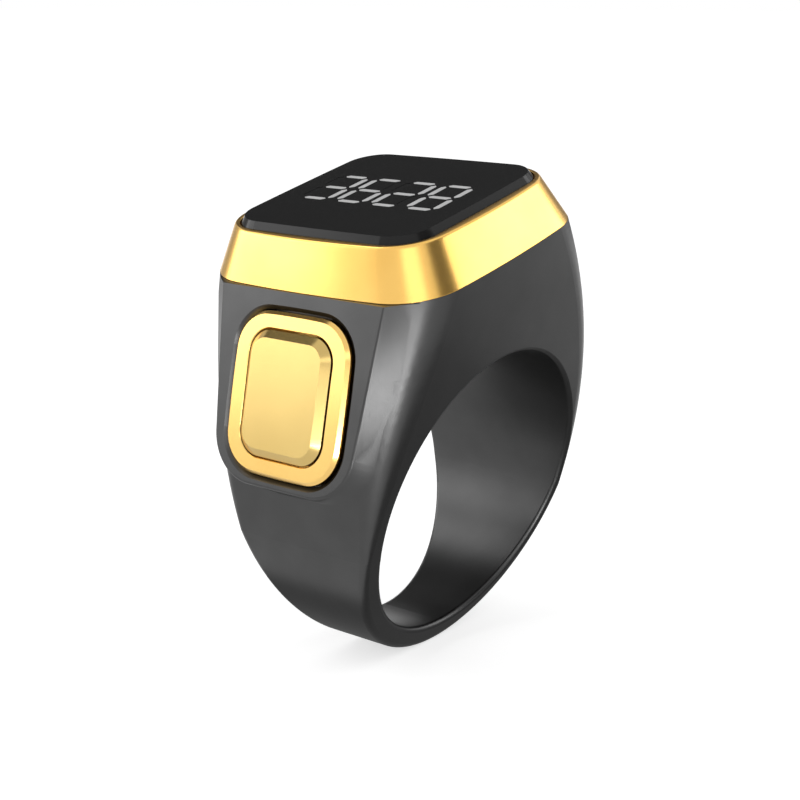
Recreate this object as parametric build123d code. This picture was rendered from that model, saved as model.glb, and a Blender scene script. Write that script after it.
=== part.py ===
"""Finger-worn digital tally ring: tapered metal band, tilted display head, push button on the front flank."""
from build123d import *
from math import cos, radians, sin, sqrt, tan
import os

# Ring band (mm). Origin at the middle of the finger bore, X along the finger, Z up, button on the -Y side.
BORE_R = 10.0               # finger opening, a 20 mm ring size
SHANK_WALL = 1.32           # mean thickness of the band at its sides
SHANK_SHIFT_Y = -0.42       # the band is thicker on the button side
SHANK_DEPTH = 2.07          # how much taller than the bore the band's oval is
SHANK_SHIFT_Z = 0.60        # middle of that oval above the bore axis
SHOULDER_DROP = 2.0         # below the bore axis, where the band swells into the head
BAND_HALF = 6.15            # half width of the band level with the bore axis
BAND_TAPER = 0.300          # loss of half width per millimetre below the axis
BAND_EASE = 0.004           # quadratic part of that taper
BAND_EDGE_R = 0.50          # rounding of the outer band edges
BORE_EDGE_R = 0.30          # comfort rounding of the bore rims
TAPER_POINTS = 8

# Display head, tilted towards the button about the X axis
HEAD_TILT = 12.75           # degrees
HEAD_LIFT = 6.55            # bore to the seat of the bezel, square to the head
HEAD_HALF_X = 9.69
HEAD_HALF_Y = 9.40
HEAD_SWELL = 0.50           # bow of each side of the head outline
HEAD_CORNER_R = 3.9
FLANK_FULL = 0.3            # extra fullness of the flanks between band and head
FRONT_FULL = -2.9           # and of the front behind the button pad
BACK_FULL = 2.2             # and of the back
HEAD_SECTIONS = 6

# Gold bezel, window and display
BEZEL_H = 3.10
BEZEL_RAKE = 1.29           # how far the bezel draws in from foot to rim
BEZEL_SKIRT = 0.80          # plug that enters the head
SKIRT_WALL = 0.75
BEZEL_LEDGE_T = 0.85
LEDGE_W = 0.95              # shelf under the window
BEZEL_RIM_X = 0.70          # flat rim of the bezel beside the window
BEZEL_RIM_Y = 0.61          # and before and behind it
GLASS_CORNER_R = 2.5
GLASS_SWELL = 0.10
GLASS_T = 1.20
GLASS_PROUD = 0.40
GLASS_CHAMFER = 0.30        # bevel of the window, in from its edge
GLASS_CHAMFER_H = 0.45      # bevel of the window, down from its face
ADHESIVE_T = 0.10
WINDOW_GAP = 0.08
MASK_FLANGE_T = 0.60
MASK_RIM_H = 0.50
MASK_RIM_W = 0.60
MASK_GAP = 0.05             # under the adhesive
DISPLAY_BOARD_T = 0.60
DIGITS = "3628"
DIGIT_MARGIN = 0.95         # bare face beside the first and last digit
DIGIT_SPACE = 0.80          # between neighbouring digits
DIGIT_H = 4.36              # between the middles of the top and bottom bars
BAR_W = 0.50
BAR_GAP = 0.28              # how much shorter a bar is than the grid of its digit
BAR_CLEAR = 0.03
BAR_SINK = 0.02             # light bars below the face of the window
LED_SIZE = 0.40
LED_T = 0.35

# Hollow of the head
ROOF_T = 1.30               # metal between the bore and the hollow
HEAD_WALL = 1.44
WELL_STEP_X = 0.95          # shelf that carries the main board, at its sides
WELL_STEP_BACK = 1.16       # and at its back
WELL_WALL = 0.97            # metal between the well and the button's flexible circuit
WELL_CORNER_R = 1.5
HEAD_FIT = 0.06             # glued or dropped-in fits inside the head

# Boards and chips
MAIN_BOARD_T = 0.60
CHIP_T = 0.50
CHIP_CLEAR = 0.10           # between the chips and the display board
CONTROLLER_SIZE = 4.0
POWER_CHIP_SIZE = 2.0
CRYSTAL_X = 1.6
CRYSTAL_Y = 1.2
ANTENNA_X = 3.2
ANTENNA_Y = 1.6
HEADER_X = 5.0
HEADER_Y = 1.5
SOCKET_Y = 1.2
SOCKET_CHEEK = 0.50         # socket beside the flexible circuit
CAPACITOR_X = 1.0
CAPACITOR_Y = 0.5
CAPACITOR_COUNT = 3         # on each side of the antenna
CAPACITOR_PITCH = 0.9

# Cell, vibration motor and charging contacts
CELL_PAD_T = 0.20
CELL_END_GAP = 0.30         # room at each end of the cell
CELL_FRONT_GAP = 0.18
CELL_BACK_GAP = 0.56        # between cell and motor
TAB_W = 1.2
TAB_T = 0.15
TAB_RISE = 0.70             # cell to the underside of the main board
MOTOR_R = 2.70
MOTOR_H = 2.20
MOTOR_WALL = 0.20
MOTOR_SHAFT_R = 0.35
MOTOR_HUB_R = 0.875
MAGNET_BORE_R = 1.05
MOTOR_PLAY = 0.05
MAGNET_T = 0.50
ROTOR_T = 0.80
CONTACT_R = 0.90
CONTACT_SPACING = 4.8
HOLDER_X = 7.6
HOLDER_Y = 3.0
HOLDER_CORNER_R = 0.8
CONTACT_RECESS = 0.05
CONTACT_FIT = 0.03

# Push button on the front flank
FRONT_LEAN = 11.83          # degrees by which the front face looks upward
FRONT_LIFT = 3.80           # bore to the flat front face
FOOT_SINK = 0.09            # foot of the bezel behind that face
BOSS_HALF_TOP = 7.10        # half width of the pad at its hidden upper end
BOSS_HALF_LOW = 5.50        # half width of the pad at its lower end
BOSS_LOW = -0.50            # lower end of the pad along the front face
BOSS_CORNER_R = 3.3
BOSS_EDGE_R = 0.20
FLARE_TOP = 2.00            # how far the pad's sides flare out, at the hidden upper end
FLARE_LOW = 0.45            # and at the lower end
FLARE_DEPTH = 1.10          # depth of the flare behind the front face
BUTTON_RISE = 5.43          # middle of the button along the front face
TRIM_HALF_X = 4.75
TRIM_HALF_Y = 5.22
TRIM_CORNER_R = 2.6
TRIM_SWELL = 0.15
TRIM_T = 1.48
TRIM_PROUD = 0.24
TRIM_CHAMFER = 0.32
TRIM_LIP = 0.16             # bevel of the inner edge of the trim
TRIM_GAP = 0.12
MOUTH_BEVEL = 0.26          # bevel round the mouth of the button pocket
SEAT_W = 0.75               # step in the pocket that carries the trim
TRIM_W_X = 1.37             # trim's edge to the cap's wall, sideways
TRIM_W_Y = 1.22             # and up and down
CAP_CORNER_R = 1.60
CAP_CHAMFER = 0.50
CAP_CHAMFER_H = 0.42
CAP_PROUD = 0.43            # cap top above the trim
CAP_PLAY = 0.12             # running gap round the cap
CAP_FLANGE_W = 0.42
CAP_FLANGE_T = 0.45
CAP_LIFT_GAP = 0.05         # rest gap between flange and trim
BUTTON_TRAVEL = 0.20
TRAVEL_SPARE = 0.36         # room left under the pressed cap
SEAL_RIM_W = 0.70
SEAL_T = 0.30
SEAL_PUSHER_R = 1.0
SEAL_GAP = 0.03
SWITCH_WELL = 0.60          # depth of the switch well
SWITCH_SIZE = 3.2
SWITCH_H = 0.60
SWITCH_WALL = 0.10
SWITCH_FIT = 0.15
PLUNGER_R = 0.75
PLUNGER_PROUD = 0.25
PLUNGER_PLAY = 0.06
PLUNGER_FLANGE_R = 1.05
PLUNGER_FLANGE_T = 0.10
DOME_R = 1.10
DOME_H = 0.19
DOME_T = 0.05
FLEX_W = 2.6
FLEX_T = 0.12
FLEX_SLOT_H = 0.60
FLEX_CLEAR = 0.09           # between the flexible circuit and the main board

# Levels in the button, measured square to the front face
FRONT_RISE = BORE_R + FRONT_LIFT
TRIM_TOP = FRONT_RISE + TRIM_PROUD
TRIM_BASE = TRIM_TOP - TRIM_T
CAP_TOP = TRIM_TOP + CAP_PROUD
FLANGE_TOP = TRIM_BASE - CAP_LIFT_GAP
CAP_BASE = FLANGE_TOP - CAP_FLANGE_T
POCKET_FLOOR = CAP_BASE - BUTTON_TRAVEL - TRAVEL_SPARE - 2 * SEAL_T
SWITCH_FLOOR = POCKET_FLOOR - SWITCH_WELL
SWITCH_BASE = SWITCH_FLOOR + FLEX_T
SWITCH_TOP = SWITCH_BASE + SWITCH_H
PLUNGER_TOP = SWITCH_TOP + PLUNGER_PROUD
CAP_HALF_X = TRIM_HALF_X - TRIM_W_X
CAP_HALF_Y = TRIM_HALF_Y - TRIM_W_Y

# Levels in the head, measured square to the display
HEAD_RISE = BORE_R + HEAD_LIFT
ROOF = BORE_R + ROOF_T
BEZEL_TOP = HEAD_RISE + BEZEL_H
WINDOW_TOP = BEZEL_TOP + GLASS_PROUD
WINDOW_BASE = WINDOW_TOP - GLASS_T
LEDGE_TOP = WINDOW_BASE - ADHESIVE_T
LEDGE_BASE = LEDGE_TOP - BEZEL_LEDGE_T
FLANGE_BASE = LEDGE_BASE - MASK_FLANGE_T
DISPLAY_BOARD_TOP = FLANGE_BASE - MASK_RIM_H
DISPLAY_BOARD_BASE = DISPLAY_BOARD_TOP - DISPLAY_BOARD_T
MASK_TOP = LEDGE_TOP - MASK_GAP
MAIN_BOARD_TOP = DISPLAY_BOARD_BASE - CHIP_CLEAR - CHIP_T
SHELF_RISE = MAIN_BOARD_TOP - MAIN_BOARD_T
CELL_BASE = ROOF + CELL_PAD_T
CELL_TOP = SHELF_RISE - TAB_RISE

# Fore-and-aft places in the head, from the leaning front face
FACE_TURN = radians(HEAD_TILT + FRONT_LEAN)


def behind_front(out, level):
    """Where a plane parallel to the front face crosses a level of the head."""
    return level * tan(FACE_TURN) - out / cos(FACE_TURN)


HEAD_SHIFT = behind_front(FRONT_RISE - FOOT_SINK, HEAD_RISE) + HEAD_HALF_Y
MAIN_BOARD_FRONT = behind_front(SWITCH_FLOOR, MAIN_BOARD_TOP) + FLEX_CLEAR

# Outlines derived from the head
HOLLOW_HALF_X = HEAD_HALF_X - HEAD_WALL
HOLLOW_HALF_Y = HEAD_HALF_Y - HEAD_WALL
HOLLOW_CORNER_R = HEAD_CORNER_R - HEAD_WALL
SKIRT_HALF_X = HOLLOW_HALF_X - HEAD_FIT
SKIRT_HALF_Y = HOLLOW_HALF_Y - HEAD_FIT
NEST_HALF_X = SKIRT_HALF_X - SKIRT_WALL
NEST_HALF_Y = SKIRT_HALF_Y - SKIRT_WALL
GLASS_HALF_X = HEAD_HALF_X - BEZEL_RAKE - BEZEL_RIM_X
GLASS_HALF_Y = HEAD_HALF_Y - BEZEL_RAKE - BEZEL_RIM_Y
LEDGE_HALF_X = GLASS_HALF_X - LEDGE_W
LEDGE_HALF_Y = GLASS_HALF_Y - LEDGE_W
WELL_HALF_X = HOLLOW_HALF_X - WELL_STEP_X
WELL_FRONT = behind_front(SWITCH_FLOOR - WELL_WALL, SHELF_RISE)
WELL_BACK = HEAD_SHIFT + HOLLOW_HALF_Y - WELL_STEP_BACK
CELL_LEN = 2 * (WELL_HALF_X - CELL_END_GAP)
CELL_W = WELL_BACK - HEAD_FIT - 2 * MOTOR_R - CELL_BACK_GAP - CELL_FRONT_GAP - WELL_FRONT
DIGIT_PITCH = 2 * (LEDGE_HALF_X - DIGIT_MARGIN) / len(DIGITS)
DIGIT_W = DIGIT_PITCH - DIGIT_SPACE

HEAD = Plane((0, 0, 0), x_dir=(1, 0, 0), z_dir=(0, -sin(radians(HEAD_TILT)), cos(radians(HEAD_TILT))))
FRONT = Plane((0, 0, 0), x_dir=(1, 0, 0), z_dir=(0, -cos(radians(FRONT_LEAN)), sin(radians(FRONT_LEAN))))


def swollen_rect(half_x, half_y, swell, corner):
    """Rounded rectangle whose four sides bow outward."""
    cx = half_x - swell
    cy = half_y - swell
    sides = [
        ThreePointArc((-cx, -cy), (0, -half_y), (cx, -cy)),
        ThreePointArc((cx, -cy), (half_x, 0), (cx, cy)),
        ThreePointArc((cx, cy), (0, half_y), (-cx, cy)),
        ThreePointArc((-cx, cy), (-half_x, 0), (-cx, -cy)),
    ]
    return fillet(make_face(sides).vertices(), corner)


def slab(outline, low, high):
    """Plate of an outline between two levels."""
    return extrude(Pos(0, 0, low) * outline, high - low)


def in_head(outline, low, high):
    """Plate centred on the head, in head coordinates."""
    return Pos(0, HEAD_SHIFT, 0) * slab(outline, low, high)


def in_button(outline, low, high):
    """Plate centred on the button, in front-face coordinates."""
    return Pos(0, BUTTON_RISE, 0) * slab(outline, low, high)


def block(size_x, size_y, x, y, low, high):
    """Square-edged block standing at a place, in the coordinates of its parent."""
    return Pos(x, y, 0) * slab(Rectangle(size_x, size_y), low, high)


def disc(radius, x, y, low, high):
    """Round plate standing at a place, in the coordinates of its parent."""
    return Pos(x, y, 0) * slab(Circle(radius), low, high)


def band_half(z):
    """Half width of the band at a height below the bore axis."""
    return BAND_HALF + BAND_TAPER * z - BAND_EASE * z * z


def head_section(step):
    """One cross-section of the head, which grows out of the band without a kink: 1 is the bezel seat."""
    seat_front = HEAD.from_local_coords(Vector(0, HEAD_SHIFT - HEAD_HALF_Y, HEAD_RISE))
    seat_back = HEAD.from_local_coords(Vector(0, HEAD_SHIFT + HEAD_HALF_Y, HEAD_RISE))
    fall = (SHOULDER_DROP + SHANK_SHIFT_Z) / (BORE_R + SHANK_DEPTH)
    level = sqrt(1 - fall ** 2)
    reach = (BORE_R + SHANK_WALL) * level
    middle = (seat_front.Z + seat_back.Z) / 2
    rise = middle + SHOULDER_DROP
    spread = rise * fall / level * (BORE_R + SHANK_WALL) / (BORE_R + SHANK_DEPTH)
    widening = rise * (BAND_TAPER + 2 * BAND_EASE * SHOULDER_DROP)
    front = Vector(0, grown(step, SHANK_SHIFT_Y - reach, -spread, seat_front.Y, -FRONT_FULL),
                   step * rise - SHOULDER_DROP + step ** 2 * (seat_front.Z - middle))
    back = Vector(0, grown(step, SHANK_SHIFT_Y + reach, spread, seat_back.Y, BACK_FULL),
                  step * rise - SHOULDER_DROP + step ** 2 * (seat_back.Z - middle))
    across = back - front
    half_x = grown(step, band_half(-SHOULDER_DROP), widening, HEAD_HALF_X, FLANK_FULL)
    corner = BAND_EDGE_R + step * (HEAD_CORNER_R - BAND_EDGE_R)
    plane = Plane((front + back) * 0.5, x_dir=(1, 0, 0), z_dir=Vector(1, 0, 0).cross(across))
    return plane * swollen_rect(half_x, across.length / 2, step * HEAD_SWELL, corner)


def grown(step, start, slope, end, fullness):
    """Curve from a start with a given slope to an end, fuller or leaner on the way."""
    way = end - start
    return start + way * step + (slope - way) * step * (1 - step) + fullness * step ** 2 * (1 - step)


def make_shank():
    """Part of the band below the shoulders, oval outside and tapered to its narrowest under the finger."""
    oval_y = BORE_R + SHANK_WALL
    oval_z = BORE_R + SHANK_DEPTH
    low = SHANK_SHIFT_Z - oval_z - SHANK_WALL
    heights = [-SHOULDER_DROP + (low + SHOULDER_DROP) * i / TAPER_POINTS for i in range(TAPER_POINTS + 1)]
    right = [(band_half(z), z) for z in heights]
    left = [(-x, z) for x, z in right]
    outline = make_face([
        Spline(right),
        Line(right[-1], left[-1]),
        Spline(list(reversed(left))),
        Line(left[0], right[0]),
    ])
    taper = extrude(Plane.XZ.offset(-2 * oval_y) * outline, 4 * oval_y)
    side = Plane.YZ.offset(-2 * BAND_HALF) * Pos(SHANK_SHIFT_Y, SHANK_SHIFT_Z)
    shank = extrude(side * Ellipse(oval_y, oval_z), 4 * BAND_HALF) & taper
    return fillet(oval_edges(shank, SHANK_SHIFT_Y, SHANK_SHIFT_Z, oval_y, oval_z), BAND_EDGE_R)


def oval_edges(solid, y, z, half_y, half_z):
    """The long edges of a solid that lie on an oval cylinder along X."""
    def off(point):
        return abs(sqrt(((point.Y - y) / half_y) ** 2 + ((point.Z - z) / half_z) ** 2) - 1)

    return solid.edges().filter_by(
        lambda e: max(off(e @ 0.3), off(e @ 0.5), off(e @ 0.7)) < 1e-4
        and abs((e @ 0.5).X) > BAND_EDGE_R and (e @ 0.3 - e @ 0.7).length > BAND_EDGE_R)


def boss_outline(flare_top, flare_low):
    """Outline of the pad, wider by one flare at its upper end and by the other at its rounded lower end."""
    low = BOSS_LOW - flare_low
    outline = make_face(Polyline(
        (-BOSS_HALF_TOP - flare_top, HEAD_RISE), (-BOSS_HALF_LOW - flare_low, low),
        (BOSS_HALF_LOW + flare_low, low), (BOSS_HALF_TOP + flare_top, HEAD_RISE), close=True))
    return fillet(outline.vertices().group_by(Axis.Y)[0], BOSS_CORNER_R + flare_low)


def make_boss():
    """Flat pad that carries the button, with sides that flare out into the corners of the head."""
    foot = FRONT_RISE - FLARE_DEPTH
    wide = boss_outline(FLARE_TOP, FLARE_LOW)
    pad = loft([Pos(0, 0, foot) * wide, Pos(0, 0, FRONT_RISE) * boss_outline(0, 0)])
    rim = pad.faces().sort_by(Axis.Z)[-1].edges().filter_by(lambda e: e.center().Y < HEAD_RISE - BOSS_EDGE_R)
    return FRONT.location * (fillet(rim, BOSS_EDGE_R) + slab(wide, BORE_R, foot))


def button_pocket():
    """Stepped pocket for trim and cap, with the switch well and the slot of the flexible circuit."""
    pocket = in_button(mouth_outline(0), TRIM_BASE, FRONT_RISE)
    pocket += in_button(mouth_outline(MOUTH_BEVEL), FRONT_RISE, CAP_TOP)
    pocket += Pos(0, BUTTON_RISE, 0) * loft([
        Pos(0, 0, FRONT_RISE - MOUTH_BEVEL) * mouth_outline(0),
        Pos(0, 0, FRONT_RISE) * mouth_outline(MOUTH_BEVEL)])
    pocket += in_button(pocket_floor_outline(0), POCKET_FLOOR, TRIM_BASE)
    pocket += in_button(Rectangle(SWITCH_SIZE + 2 * SWITCH_FIT, SWITCH_SIZE + 2 * SWITCH_FIT),
                        SWITCH_FLOOR, POCKET_FLOOR)
    slot_top = (MAIN_BOARD_TOP - SWITCH_FLOOR * sin(FACE_TURN)) / cos(FACE_TURN)
    slot = block(FLEX_W + 2 * SWITCH_FIT, slot_top - BUTTON_RISE, 0, (slot_top + BUTTON_RISE) / 2,
                 SWITCH_FLOOR, SWITCH_FLOOR + FLEX_SLOT_H)
    return FRONT.location * (pocket + slot)


def mouth_outline(out):
    """Mouth of the button pocket, a distance wider than the trim's clearance."""
    return swollen_rect(TRIM_HALF_X + TRIM_GAP + out, TRIM_HALF_Y + TRIM_GAP + out, TRIM_SWELL,
                        TRIM_CORNER_R + TRIM_GAP + out)


def pocket_floor_outline(clear):
    """Outline of the narrow part of the button pocket, less a clearance."""
    return swollen_rect(TRIM_HALF_X - SEAT_W - clear, TRIM_HALF_Y - SEAT_W - clear, TRIM_SWELL,
                        TRIM_CORNER_R - SEAT_W - clear)


def head_hollow():
    """Stepped hollow of the head: board bay, well for cell and motor below it, contact port in the roof."""
    bay = in_head(swollen_rect(HOLLOW_HALF_X, HOLLOW_HALF_Y, GLASS_SWELL, HOLLOW_CORNER_R),
                  SHELF_RISE, BEZEL_TOP)
    well = Pos(0, (WELL_FRONT + WELL_BACK) / 2, 0) * slab(
        RectangleRounded(2 * WELL_HALF_X, WELL_BACK - WELL_FRONT, WELL_CORNER_R), ROOF, SHELF_RISE)
    port = slab(RectangleRounded(HOLDER_X, HOLDER_Y, HOLDER_CORNER_R), BORE_R - ROOF_T, ROOF)
    return HEAD.location * (bay + well + port)


def bore_through(solid):
    """Open the finger bore through a solid and round its two rims for comfort."""
    solid -= Rot(0, 90, 0) * Cylinder(BORE_R, 6 * BAND_HALF)
    return fillet(oval_edges(solid, 0, 0, BORE_R, BORE_R), BORE_EDGE_R)


def make_ring_body():
    """Band, head and button pad in one piece of metal."""
    shank = make_shank()
    shoulder = shank.faces().sort_by(Axis.Z)[-1]
    head = loft([shoulder] + [head_section(i / HEAD_SECTIONS) for i in range(1, HEAD_SECTIONS + 1)])
    above = HEAD.location * slab(Rectangle(6 * HEAD_HALF_X, 6 * HEAD_HALF_Y), HEAD_RISE, 2 * HEAD_RISE)
    bore = Rot(0, 90, 0) * Cylinder(BORE_R, 6 * BAND_HALF)
    body = bore_through(head + shank) + (make_boss() - above - bore)
    return body - head_hollow() - button_pocket()


def make_bezel():
    """Raked gold frame round the window, with a skirt that plugs into the head."""
    foot = Pos(0, HEAD_SHIFT, HEAD_RISE) * swollen_rect(HEAD_HALF_X, HEAD_HALF_Y, HEAD_SWELL, HEAD_CORNER_R)
    rim = Pos(0, HEAD_SHIFT, BEZEL_TOP) * swollen_rect(
        HEAD_HALF_X - BEZEL_RAKE, HEAD_HALF_Y - BEZEL_RAKE, HEAD_SWELL, HEAD_CORNER_R - BEZEL_RAKE / 2)
    frame = loft([foot, rim])
    frame += in_head(swollen_rect(SKIRT_HALF_X, SKIRT_HALF_Y, GLASS_SWELL, HOLLOW_CORNER_R),
                     HEAD_RISE - BEZEL_SKIRT, HEAD_RISE)
    frame -= in_head(nest_outline(0), HEAD_RISE - BEZEL_SKIRT, LEDGE_BASE)
    frame -= in_head(ledge_outline(0), LEDGE_BASE, LEDGE_TOP)
    frame -= in_head(window_outline(-WINDOW_GAP), LEDGE_TOP, BEZEL_TOP)
    return frame


def nest_outline(clear):
    """Opening of the bezel below its shelf, less a clearance."""
    return swollen_rect(NEST_HALF_X - clear, NEST_HALF_Y - clear, GLASS_SWELL,
                        GLASS_CORNER_R - SKIRT_WALL - clear)


def ledge_outline(clear):
    """Opening inside the bezel's shelf, less a clearance."""
    return swollen_rect(LEDGE_HALF_X - clear, LEDGE_HALF_Y - clear, GLASS_SWELL,
                        GLASS_CORNER_R - LEDGE_W - clear)


def window_outline(clear):
    """Edge of the window, less a clearance."""
    return swollen_rect(GLASS_HALF_X - clear, GLASS_HALF_Y - clear, GLASS_SWELL, GLASS_CORNER_R - clear)


def make_window():
    """Dark display face with a bevelled upper edge and an opening for every light bar."""
    glass = in_head(window_outline(0), WINDOW_BASE, WINDOW_TOP)
    face = glass.faces().sort_by(Axis.Z)[-1]
    glass = chamfer(face.edges(), GLASS_CHAMFER, GLASS_CHAMFER_H, reference=face)
    return glass - [in_head(outline, WINDOW_BASE, WINDOW_TOP) for outline in digit_bars(None)]


def make_adhesive():
    """Adhesive frame between the window and the bezel's shelf."""
    return in_head(window_outline(WINDOW_GAP) - ledge_outline(-WINDOW_GAP), LEDGE_TOP, WINDOW_BASE)


def bar(length, upright):
    """One pointed bar of a seven-bar digit."""
    half = length / 2
    side = BAR_W / 2
    upper = [(-half, 0), (side - half, side), (half - side, side)]
    lower = [(-x, -y) for x, y in upper]
    outline = make_face(Polyline(*upper, *lower, close=True))
    return Rot(0, 0, 90) * outline if upright else outline


def bar_places():
    """Middle, length and direction of the seven bars of a digit, by their usual letters."""
    across = DIGIT_W - BAR_GAP
    tall = DIGIT_H / 2 - BAR_GAP
    side = DIGIT_W / 2
    top = DIGIT_H / 2
    return {
        "a": (0, top, across, False),
        "b": (side, top / 2, tall, True),
        "c": (side, -top / 2, tall, True),
        "d": (0, -top, across, False),
        "e": (-side, -top / 2, tall, True),
        "f": (-side, top / 2, tall, True),
        "g": (0, 0, across, False),
    }


LIT_BARS = {"2": "abged", "3": "abgcd", "6": "afgecd", "8": "abcdefg"}


def digit_bars(lit):
    """Outlines of the bars that are lit, dark, or all of them, placed on the display."""
    found = []
    for i, digit in enumerate(DIGITS):
        x0 = (i - (len(DIGITS) - 1) / 2) * DIGIT_PITCH
        for letter, (x, y, length, upright) in bar_places().items():
            if lit is None or lit == (letter in LIT_BARS[digit]):
                found.append(Pos(x0 + x, y) * bar(length, upright))
    return found


def make_mask():
    """Black plate with a light well for every bar of the digits, seated under the bezel's shelf."""
    mask = in_head(ledge_outline(HEAD_FIT), LEDGE_BASE, MASK_TOP)
    mask += in_head(nest_outline(HEAD_FIT), FLANGE_BASE, LEDGE_BASE)
    mask += in_head(nest_outline(HEAD_FIT) - nest_outline(HEAD_FIT + MASK_RIM_W),
                    DISPLAY_BOARD_TOP, FLANGE_BASE)
    return mask - [in_head(outline, FLANGE_BASE, MASK_TOP) for outline in digit_bars(None)]


def make_bars(lit):
    """Diffusing bars that fill the light wells of the mask and the openings of the window."""
    bars = [in_head(offset(outline, -BAR_CLEAR, kind=Kind.INTERSECTION), FLANGE_BASE, WINDOW_TOP - BAR_SINK)
            for outline in digit_bars(lit)]
    return Part() + bars


def make_leds():
    """One light-emitting chip behind every bar."""
    chips = []
    for outline in digit_bars(None):
        spot = outline.center()
        chips.append(block(LED_SIZE, LED_SIZE, spot.X, HEAD_SHIFT + spot.Y,
                           DISPLAY_BOARD_TOP, DISPLAY_BOARD_TOP + LED_T))
    return Part() + chips


def make_main_board():
    """Main board on the shelf of the head, cut back in front for the flexible circuit."""
    board = in_head(swollen_rect(HOLLOW_HALF_X - HEAD_FIT, HOLLOW_HALF_Y - HEAD_FIT, GLASS_SWELL,
                                 HOLLOW_CORNER_R - HEAD_FIT), SHELF_RISE, MAIN_BOARD_TOP)
    depth = HOLLOW_HALF_Y
    return board - block(4 * HOLLOW_HALF_X, depth, 0, MAIN_BOARD_FRONT - depth / 2,
                         SHELF_RISE, MAIN_BOARD_TOP)


def on_board(size_x, size_y, x, y):
    """Chip standing on the main board."""
    return block(size_x, size_y, x, y, MAIN_BOARD_TOP, MAIN_BOARD_TOP + CHIP_T)


def cell_outline():
    """Pouch cell seen from above, rounded like the well it lies in."""
    return RectangleRounded(CELL_LEN, CELL_W, min(WELL_CORNER_R - HEAD_FIT, CELL_W / 3))


def cell_middle():
    """Fore-and-aft middle of the cell in its well."""
    return WELL_FRONT + CELL_FRONT_GAP + CELL_W / 2


def motor_middle():
    """Fore-and-aft middle of the motor, against the back of the well."""
    return WELL_BACK - HEAD_FIT - MOTOR_R


def make_cell_tabs():
    """Two terminals that stand from the cell to the underside of the main board."""
    reach = CELL_LEN / 2 - TAB_W
    tabs = [block(TAB_W, TAB_T, side * reach, cell_middle(), CELL_TOP, SHELF_RISE) for side in (-1, 1)]
    return Part() + tabs


def make_motor():
    """Coin vibration motor: base, can, shaft, ring magnet and eccentric rotor, in head coordinates."""
    y = motor_middle()
    base_top = ROOF + MOTOR_WALL
    top = ROOF + MOTOR_H
    can = disc(MOTOR_R, 0, y, base_top, top) - disc(MOTOR_R - MOTOR_WALL, 0, y, base_top, top - MOTOR_WALL)
    magnet_r = MOTOR_R - 2 * MOTOR_WALL
    magnet = disc(magnet_r, 0, y, base_top, base_top + MAGNET_T)
    magnet -= disc(MAGNET_BORE_R, 0, y, base_top, base_top + MAGNET_T)
    rotor_top = top - MOTOR_WALL - MOTOR_PLAY * 3
    rotor_base = rotor_top - ROTOR_T
    rotor = disc(magnet_r, 0, y, rotor_base, rotor_top)
    rotor -= block(3 * magnet_r, magnet_r, 0, y + magnet_r / 2, rotor_base, rotor_top)
    rotor += disc(MOTOR_HUB_R, 0, y, rotor_base, rotor_top)
    rotor -= disc(MOTOR_SHAFT_R + MOTOR_PLAY, 0, y, rotor_base, rotor_top)
    return {
        "motor_base": disc(MOTOR_R, 0, y, ROOF, base_top),
        "motor_can": can,
        "motor_shaft": disc(MOTOR_SHAFT_R, 0, y, base_top, top - MOTOR_WALL),
        "motor_magnet": magnet,
        "motor_rotor": rotor,
    }


def contact_places():
    """The two charging contacts along the finger direction."""
    return [(-CONTACT_SPACING / 2, 0), (CONTACT_SPACING / 2, 0)]


def make_contacts():
    """Charging contacts in the roof of the bore and the insulator that holds them."""
    low = BORE_R + CONTACT_RECESS
    pins = []
    holder = slab(RectangleRounded(HOLDER_X - 2 * CONTACT_FIT, HOLDER_Y - 2 * CONTACT_FIT,
                                   HOLDER_CORNER_R - CONTACT_FIT), low, ROOF)
    for x, y in contact_places():
        pins.append(disc(CONTACT_R, x, y, low, ROOF))
        holder -= disc(CONTACT_R + CONTACT_FIT, x, y, low, ROOF)
    return {"charge_contacts": Part() + pins, "contact_holder": holder}


def make_trim():
    """Gold frame round the button cap, seated on the step of the pocket."""
    outline = swollen_rect(TRIM_HALF_X, TRIM_HALF_Y, TRIM_SWELL, TRIM_CORNER_R)
    trim = in_button(outline, TRIM_BASE, TRIM_TOP)
    trim = chamfer(trim.faces().sort_by(Axis.Z)[-1].edges(), TRIM_CHAMFER)
    trim -= in_button(cap_outline(-CAP_PLAY), TRIM_BASE, TRIM_TOP)
    return chamfer(trim.faces().sort_by(Axis.Z)[-1].inner_wires()[0].edges(), TRIM_LIP)


def cap_outline(clear):
    """Outline of the cap's wall, less a clearance."""
    return RectangleRounded(2 * (CAP_HALF_X - clear), 2 * (CAP_HALF_Y - clear), CAP_CORNER_R - clear)


def make_cap():
    """Bevelled gold cap with a flange that keeps it under the trim."""
    cap = in_button(cap_outline(0), CAP_BASE, CAP_TOP)
    face = cap.faces().sort_by(Axis.Z)[-1]
    cap = chamfer(face.edges(), CAP_CHAMFER, CAP_CHAMFER_H, reference=face)
    return cap + in_button(cap_outline(-CAP_FLANGE_W), CAP_BASE, FLANGE_TOP)


def make_seal():
    """Silicone membrane over the switch, with a clamped rim and a pusher in the middle."""
    rim = pocket_floor_outline(HEAD_FIT)
    inner = pocket_floor_outline(HEAD_FIT + SEAL_RIM_W)
    under = POCKET_FLOOR + SEAL_T
    seal = in_button(rim, POCKET_FLOOR, under + SEAL_T)
    seal -= in_button(inner, POCKET_FLOOR, under)
    seal -= disc(SEAL_PUSHER_R, 0, BUTTON_RISE, POCKET_FLOOR, under + SEAL_T)
    return seal + disc(SEAL_PUSHER_R, 0, BUTTON_RISE, PLUNGER_TOP + SEAL_GAP, CAP_BASE - SEAL_GAP)


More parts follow.
